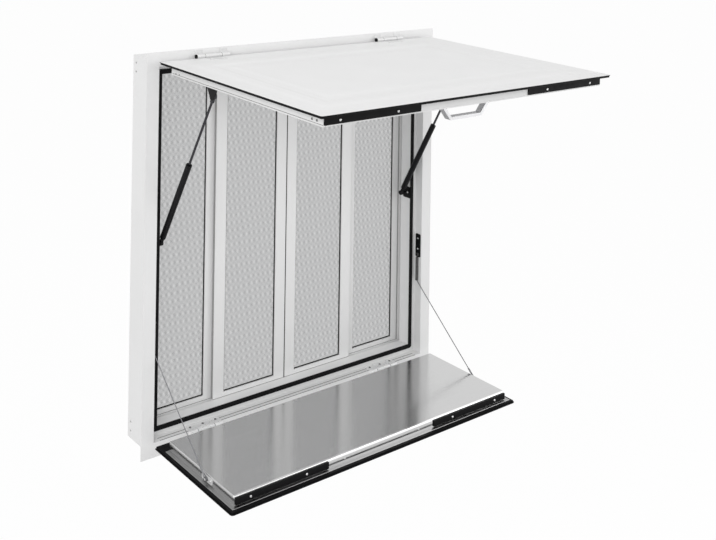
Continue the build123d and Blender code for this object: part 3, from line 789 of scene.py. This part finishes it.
def door_rivets(side, hand):
    """Two rivets near each end of the awning's flank."""
    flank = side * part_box("door_body")[1][0]
    front_level = -0.022
    root_level = -0.026
    rivets = ((0.541, front_level, 0.0026), (0.556, front_level, 0.0026), (0.045, root_level, 0.0017),
              (0.059, root_level, 0.0017))
    for number, (reach, level, radius) in enumerate(rivets, start=1):
        place = AWNING @ Vector((flank, -reach, level))
        screw(f"door_rivet_{hand}_{number}", place, (side, 0, 0), radius, DARK_SCREW, "awning_door")


for side, hand in SIDES:
    latch_screws(side, hand)
for side, hand in SIDES:
    stay_screws(side, hand)
    hinge_screws(hand)
    hinge_rings(hand)
    strut_bolt(side, hand)
    door_rivets(side, hand)


# Stage, light and camera
def seen_rays(tree, path):
    """1 for the rays that show the background: straight to the camera, mirrored or let through."""
    total = path.outputs["Is Camera Ray"]
    for kind in ("Is Glossy Ray", "Is Transmission Ray"):
        add = tree.nodes.new("ShaderNodeMath")
        add.operation = "MAXIMUM"
        tree.links.new(total, add.inputs[0])
        tree.links.new(path.outputs[kind], add.inputs[1])
        total = add.outputs[0]
    return total


def stage_floor():
    """A plain pale floor well below the window, white to the camera but for a trace of shadow."""
    mesh = bpy.data.meshes.new("floor")
    size = 60.0
    level = -0.9
    mesh.from_pydata([(-size, -size, level), (size, -size, level), (size, size, level), (-size, size, level)], [],
                     [(0, 1, 2, 3)])
    floor = bpy.data.objects.new("floor", mesh)
    bpy.context.scene.collection.objects.link(floor)
    paint = bpy.data.materials.new("floor_paint")
    paint.use_nodes = True
    tree = paint.node_tree
    shader = tree.nodes["Principled BSDF"]
    shader.inputs["Base Color"].default_value = (0.8, 0.8, 0.8, 1)
    shader.inputs["Roughness"].default_value = 0.8
    glow = tree.nodes.new("ShaderNodeEmission")
    glow.inputs["Strength"].default_value = 1.01
    path = tree.nodes.new("ShaderNodeLightPath")
    share = tree.nodes.new("ShaderNodeMath")
    share.operation = "MULTIPLY"
    share.inputs[1].default_value = 0.94
    mix = tree.nodes.new("ShaderNodeMixShader")
    tree.links.new(seen_rays(tree, path), share.inputs[0])
    tree.links.new(share.outputs[0], mix.inputs["Fac"])
    tree.links.new(shader.outputs[0], mix.inputs[1])
    tree.links.new(glow.outputs[0], mix.inputs[2])
    tree.links.new(mix.outputs[0], tree.nodes["Material Output"].inputs["Surface"])
    mesh.materials.append(paint)


def world_light():
    """A soft, even surround: white to the camera, a plain grey studio to the object."""
    world = bpy.data.worlds.new("studio")
    bpy.context.scene.world = world
    world.use_nodes = True
    tree = world.node_tree
    soft = tree.nodes["Background"]
    soft.inputs["Color"].default_value = (1.0, 1.0, 1.0, 1)
    soft.inputs["Strength"].default_value = 0.66
    white = tree.nodes.new("ShaderNodeBackground")
    white.inputs["Color"].default_value = (1.0, 1.0, 1.0, 1)
    white.inputs["Strength"].default_value = 1.0
    path = tree.nodes.new("ShaderNodeLightPath")
    seen = seen_rays(tree, path)
    mix = tree.nodes.new("ShaderNodeMixShader")
    tree.links.new(seen, mix.inputs["Fac"])
    tree.links.new(soft.outputs[0], mix.inputs[1])
    tree.links.new(white.outputs[0], mix.inputs[2])
    tree.links.new(mix.outputs[0], tree.nodes["World Output"].inputs["Surface"])


def soft_box(name, place, target, size, power):
    """A large square lamp that looks at a point."""
    light = bpy.data.lights.new(name, "AREA")
    light.size = size
    light.energy = power
    lamp = bpy.data.objects.new(name, light)
    lamp.location = place
    lamp.rotation_euler = (Vector(target) - Vector(place)).to_track_quat("-Z", "Y").to_euler()
    bpy.context.scene.collection.objects.link(lamp)


def photo_camera():
    """The photograph's camera: level, with the picture shifted down and to the right."""
    yaw = math.radians(33.89)
    pitch = math.radians(-0.41)
    roll = math.radians(0.87)
    focal_px = 1023.74
    centre_px = (-159.55, -385.16)
    width_px = 716.0
    forward = Vector((math.sin(yaw) * math.cos(pitch), math.cos(yaw) * math.cos(pitch), -math.sin(pitch)))
    right = Vector((math.cos(yaw), -math.sin(yaw), 0))
    up = right.cross(forward)
    tilted_right = right * math.cos(roll) + up * math.sin(roll)
    tilted_up = up * math.cos(roll) - right * math.sin(roll)
    data = bpy.data.cameras.new("camera")
    sensor_mm = 36.0
    data.sensor_width = sensor_mm
    data.sensor_fit = "HORIZONTAL"
    data.lens = sensor_mm * focal_px / width_px
    data.shift_x = -centre_px[0] / width_px
    data.shift_y = centre_px[1] / width_px
    camera = bpy.data.objects.new("camera", data)
    place = Matrix.Translation((-1.7531, -2.0980, 1.3499))
    camera.matrix_world = place @ Matrix((tilted_right, tilted_up, -forward)).transposed().to_4x4()
    bpy.context.scene.collection.objects.link(camera)
    bpy.context.scene.camera = camera


stage_floor()
world_light()
soft_box("key", (-3.0, -2.0, 1.9), (0, -0.1, 0.5), 2.2, 56)
soft_box("top", (0.3, -0.5, 3.5), (0, -0.2, 0.8), 2.4, 12)
soft_box("fill", (2.4, -2.2, 1.2), (0, -0.1, 0.4), 2.0, 22)
photo_camera()
bpy.context.scene.view_settings.view_transform = "Standard"
